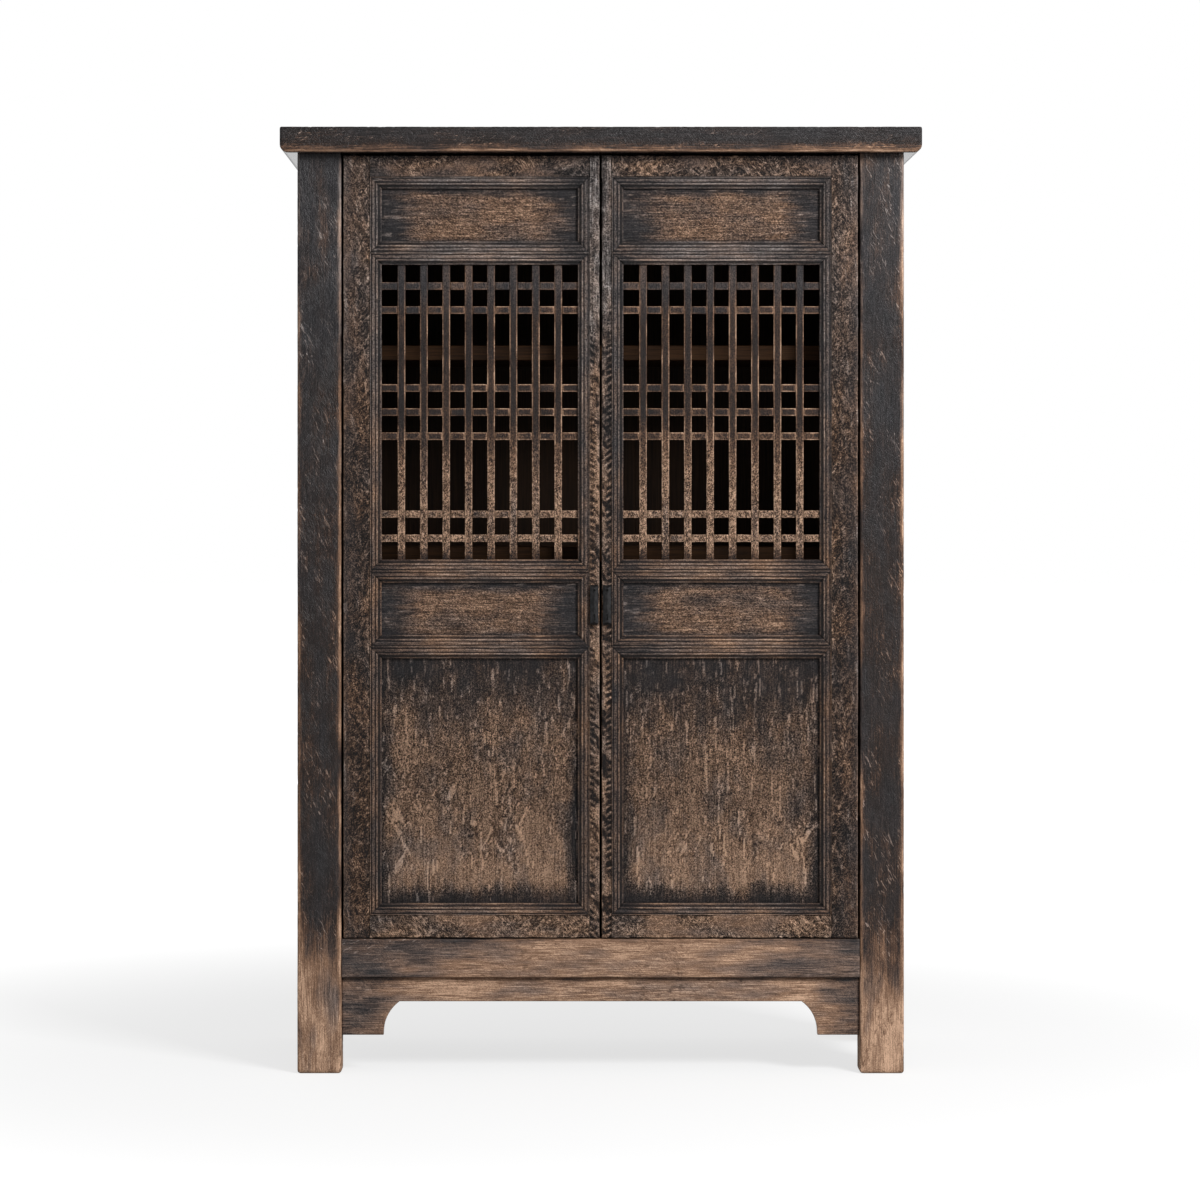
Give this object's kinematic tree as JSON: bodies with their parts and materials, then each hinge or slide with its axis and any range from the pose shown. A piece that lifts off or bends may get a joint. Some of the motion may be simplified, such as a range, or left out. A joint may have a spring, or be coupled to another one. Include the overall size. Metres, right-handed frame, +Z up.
{
  "type": "book cabinet",
  "caption": "Tall two-door book cabinet in dark distressed wood, with half-lapped lattice windows, moulded panels, an overhanging plank top and a shaped apron.",
  "frame": {"origin": "on the floor under the middle of the top board", "axes": "+Z up, -Y is the front with the doors, +X to the right seen from the front"},
  "size_m": [1.238, 0.51, 1.83],
  "materials": {
    "dark_wood": "near-black stain worn back to brown wood on arrises, panel fields and feet",
    "bare_wood": "oiled natural wood inside",
    "forged_iron": "blackened forged iron"
  },
  "bodies": {
    "carcass": {"top_board": "dark_wood", "left_front_post": "dark_wood", "right_front_post": "dark_wood", "left_rear_post": "dark_wood", "right_rear_post": "dark_wood", "front_head_rail": "dark_wood", "front_bottom_rail": "dark_wood", "front_apron": "dark_wood", "left_side_apron": "dark_wood", "right_side_apron": "dark_wood", "left_side_top_rail": "dark_wood", "right_side_top_rail": "dark_wood", "left_side_bottom_rail": "dark_wood", "right_side_bottom_rail": "dark_wood", "left_side_panel": "dark_wood", "right_side_panel": "dark_wood", "back_top_rail": "dark_wood", "back_bottom_rail": "dark_wood", "back_boards": "bare_wood", "bottom_board": "bare_wood", "lower_shelf": "bare_wood", "middle_shelf": "bare_wood", "upper_shelf": "bare_wood", "shelf_bearers": "bare_wood"},
    "left_door": {"left_door_hinge_stile": "dark_wood", "left_door_meeting_stile": "dark_wood", "left_door_top_rail": "dark_wood", "left_door_lattice_head_rail": "dark_wood", "left_door_lattice_sill_rail": "dark_wood", "left_door_waist_rail": "dark_wood", "left_door_bottom_rail": "dark_wood", "left_door_top_panel": "dark_wood", "left_door_waist_panel": "dark_wood", "left_door_lower_panel": "dark_wood", "left_door_top_panel_moulding": "dark_wood", "left_door_lattice_moulding": "dark_wood", "left_door_waist_panel_moulding": "dark_wood", "left_door_lower_panel_moulding": "dark_wood", "left_door_lattice_uprights": "dark_wood", "left_door_lattice_crossbars": "dark_wood", "left_door_pull": "forged_iron"},
    "right_door": {"right_door_hinge_stile": "dark_wood", "right_door_meeting_stile": "dark_wood", "right_door_top_rail": "dark_wood", "right_door_lattice_head_rail": "dark_wood", "right_door_lattice_sill_rail": "dark_wood", "right_door_waist_rail": "dark_wood", "right_door_bottom_rail": "dark_wood", "right_door_top_panel": "dark_wood", "right_door_waist_panel": "dark_wood", "right_door_lower_panel": "dark_wood", "right_door_top_panel_moulding": "dark_wood", "right_door_lattice_moulding": "dark_wood", "right_door_waist_panel_moulding": "dark_wood", "right_door_lower_panel_moulding": "dark_wood", "right_door_lattice_uprights": "dark_wood", "right_door_lattice_crossbars": "dark_wood", "right_door_pull": "forged_iron"}
  },
  "joints": [
    {"name": "left_door_hinge", "type": "hinge", "parent": "carcass", "child": "left_door", "pos_m": [-0.4785, -0.211, 0.261], "axis": [0, 0, -1], "range_deg": [0, 120]},
    {"name": "right_door_hinge", "type": "hinge", "parent": "carcass", "child": "right_door", "pos_m": [0.4785, -0.211, 0.261], "axis": [0, 0, 1], "range_deg": [0, 120]}
  ]
}
